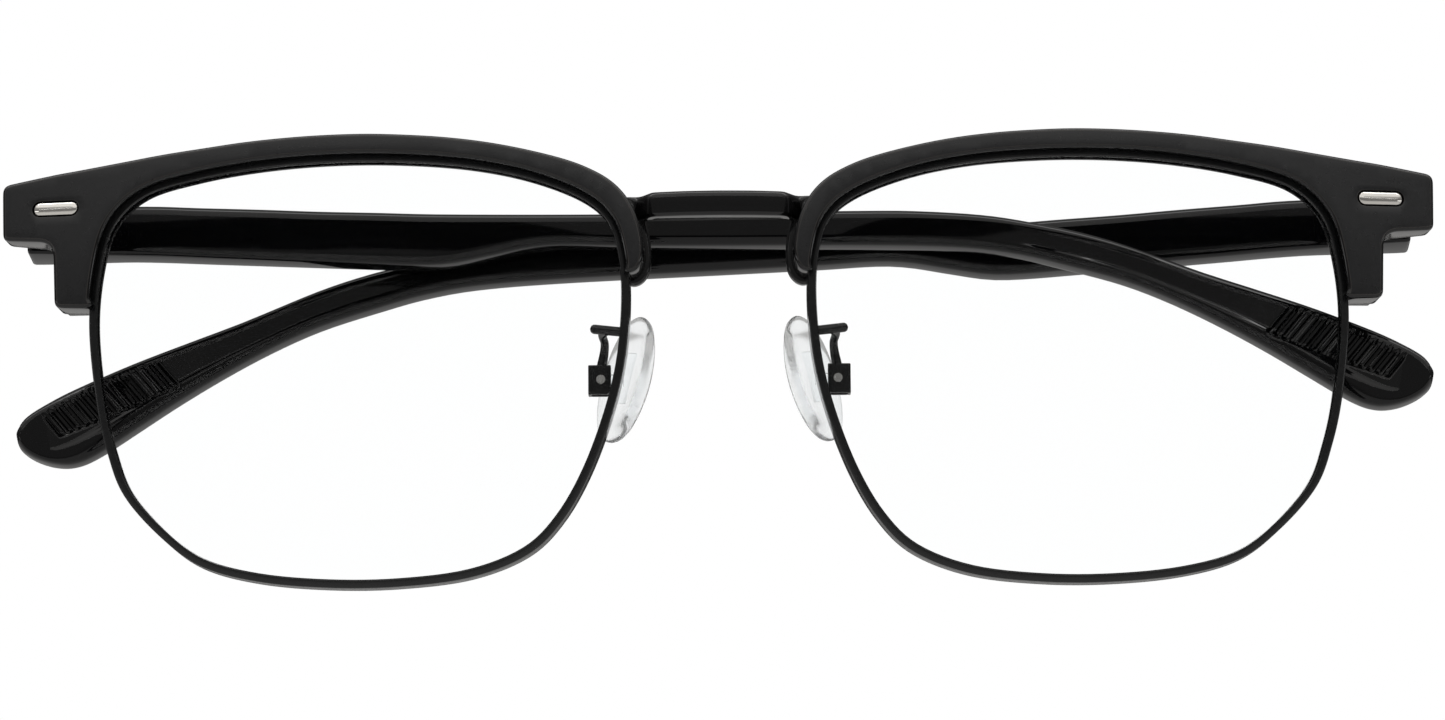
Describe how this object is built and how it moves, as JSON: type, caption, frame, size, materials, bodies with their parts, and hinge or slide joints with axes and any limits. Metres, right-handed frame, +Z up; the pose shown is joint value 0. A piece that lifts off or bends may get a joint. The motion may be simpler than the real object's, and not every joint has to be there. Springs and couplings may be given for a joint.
{
  "type": "half-rim eyeglasses",
  "caption": "Browline eyeglasses with dark upper brow pieces over full thin metal rims, clear lenses, a metal bridge, rocking nose pads and folding temples.",
  "frame": {"origin": "the nose seat: the middle of the front's width, at the bridge's front-face depth, level with the upper part of the nose pads", "axes": "+X towards the wearer's left (the viewer's right), +Y back towards the face, +Z up"},
  "size_m": [0.145, 0.0225, 0.0459],
  "materials": {
    "brow_acetate": "satin black acetate",
    "temple_acetate": "polished black acetate",
    "black_metal": "gloss black painted metal",
    "polished_steel": "polished",
    "bright_steel": "bright",
    "dark_steel": "dark plated",
    "core_steel": "plain",
    "clear_lens": "clear acrylic",
    "silicone": "clear silicone",
    "clear_core": "clear polycarbonate"
  },
  "bodies": {
    "front": {"brow_right": "brow_acetate", "brow_left": "brow_acetate", "brow_inlay_right": "polished_steel", "brow_inlay_left": "polished_steel", "rim_right": "black_metal", "rim_left": "black_metal", "bridge": "black_metal", "lens_right": "clear_lens", "lens_left": "clear_lens", "rim_screw_right": "dark_steel", "rim_screw_left": "dark_steel", "brow_screw_right": "dark_steel", "brow_screw_left": "dark_steel", "pad_arm_right": "black_metal", "pad_arm_left": "black_metal", "pad_screw_right": "bright_steel", "pad_screw_left": "bright_steel", "hinge_front_right": "dark_steel", "hinge_front_left": "dark_steel", "hinge_screw_right": "bright_steel", "hinge_screw_left": "bright_steel"},
    "temple_right_body": {"temple_right": "temple_acetate", "temple_core_right": "core_steel", "hinge_temple_right": "dark_steel"},
    "temple_left_body": {"temple_left": "temple_acetate", "temple_core_left": "core_steel", "hinge_temple_left": "dark_steel"},
    "pad_right_body": {"nose_pad_right": "silicone", "pad_core_right": "clear_core"},
    "pad_left_body": {"nose_pad_left": "silicone", "pad_core_left": "clear_core"}
  },
  "joints": [
    {"name": "temple_right_fold", "type": "hinge", "parent": "front", "child": "temple_right_body", "pos_m": [-0.067, 0.0164, 0.0183], "axis": [0, 0.1392, 0.9903], "range_deg": [0, 92.1]},
    {"name": "temple_left_fold", "type": "hinge", "parent": "front", "child": "temple_left_body", "pos_m": [0.067, 0.0164, 0.0183], "axis": [0, -0.1392, -0.9903], "range_deg": [0, 88.2]},
    {"name": "pad_right_rock", "type": "hinge", "parent": "front", "child": "pad_right_body", "pos_m": [-0.0119, 0.0082, 0.0005], "axis": [0, 1, 0], "range_deg": [-10, 10]},
    {"name": "pad_left_rock", "type": "hinge", "parent": "front", "child": "pad_left_body", "pos_m": [0.0119, 0.0082, 0.0005], "axis": [0, 1, 0], "range_deg": [-10, 10]}
  ]
}
